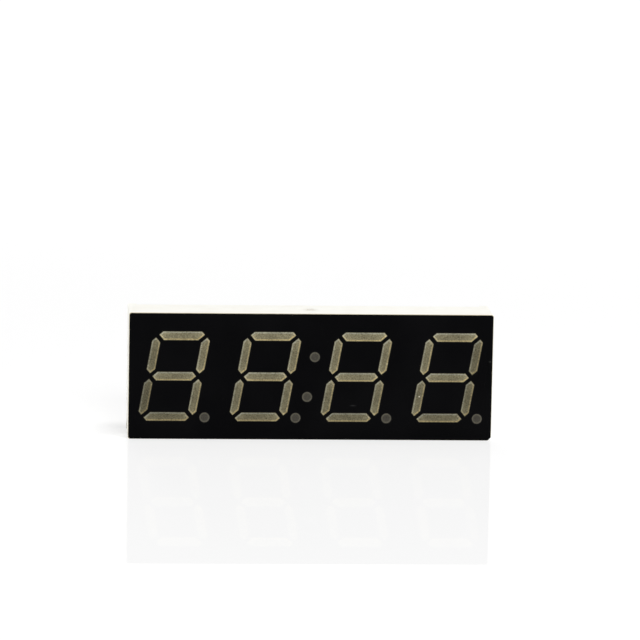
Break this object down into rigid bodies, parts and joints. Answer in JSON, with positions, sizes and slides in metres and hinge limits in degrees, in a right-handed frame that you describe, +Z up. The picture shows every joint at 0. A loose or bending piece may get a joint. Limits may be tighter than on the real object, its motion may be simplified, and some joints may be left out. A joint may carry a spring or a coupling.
{
  "type": "seven segment display module",
  "caption": "Flat clock display module with leaning seven-segment digits, decimal points and a colon on a black face, with rows of round pins on its back.",
  "frame": {"origin": "on the floor under the middle of the module's width, midway between the printed face and the pin tips", "axes": "+X to the right as the face is read, +Y from the face towards the pins, +Z up with the module standing on its long lower side"},
  "size_m": [0.0508, 0.013, 0.0178],
  "materials": {
    "housing_cream": "moulded cream-white plastic, fine satin",
    "face_ink": "matt black printed layer",
    "window_resin": "cloudy resin with fine diffusing grain",
    "dot_resin": "cloudy resin, seen deeper and darker",
    "board_laminate": "laminate with white solder mask",
    "seal_resin": "cast resin, glossy",
    "pin_tin": "drawn wire, bright tin plate",
    "die_crystal": "sawn crystal with a metal pad",
    "wire_gold": "fine gold wire",
    "solder_tin": "wetted solder, satin"
  },
  "bodies": {
    "root": {"reflector_housing": "housing_cream", "front_mask": "face_ink", "circuit_board": "board_laminate", "rear_seal": "seal_resin", "digit_1_segment_a": "window_resin", "digit_1_segment_b": "window_resin", "digit_1_segment_c": "window_resin", "digit_1_segment_d": "window_resin", "digit_1_segment_e": "window_resin", "digit_1_segment_f": "window_resin", "digit_1_segment_g": "window_resin", "digit_2_segment_a": "window_resin", "digit_2_segment_b": "window_resin", "digit_2_segment_c": "window_resin", "digit_2_segment_d": "window_resin", "digit_2_segment_e": "window_resin", "digit_2_segment_f": "window_resin", "digit_2_segment_g": "window_resin", "digit_3_segment_a": "window_resin", "digit_3_segment_b": "window_resin", "digit_3_segment_c": "window_resin", "digit_3_segment_d": "window_resin", "digit_3_segment_e": "window_resin", "digit_3_segment_f": "window_resin", "digit_3_segment_g": "window_resin", "digit_4_segment_a": "window_resin", "digit_4_segment_b": "window_resin", "digit_4_segment_c": "window_resin", "digit_4_segment_d": "window_resin", "digit_4_segment_e": "window_resin", "digit_4_segment_f": "window_resin", "digit_4_segment_g": "window_resin", "digit_1_decimal_point": "dot_resin", "digit_2_decimal_point": "dot_resin", "digit_3_decimal_point": "dot_resin", "digit_4_decimal_point": "dot_resin", "colon_dot_upper": "dot_resin", "colon_dot_lower": "dot_resin", "pin_01": "pin_tin", "pin_02": "pin_tin", "pin_03": "pin_tin", "pin_04": "pin_tin", "pin_05": "pin_tin", "pin_06": "pin_tin", "pin_07": "pin_tin", "pin_08": "pin_tin", "pin_09": "pin_tin", "pin_10": "pin_tin", "pin_11": "pin_tin", "pin_12": "pin_tin", "led_dies_digit_1": "die_crystal", "led_dies_digit_2": "die_crystal", "led_dies_digit_3": "die_crystal", "led_dies_digit_4": "die_crystal", "led_dies_colon": "die_crystal", "bond_wires": "wire_gold", "solder_joints": "solder_tin"}
  },
  "joints": []
}
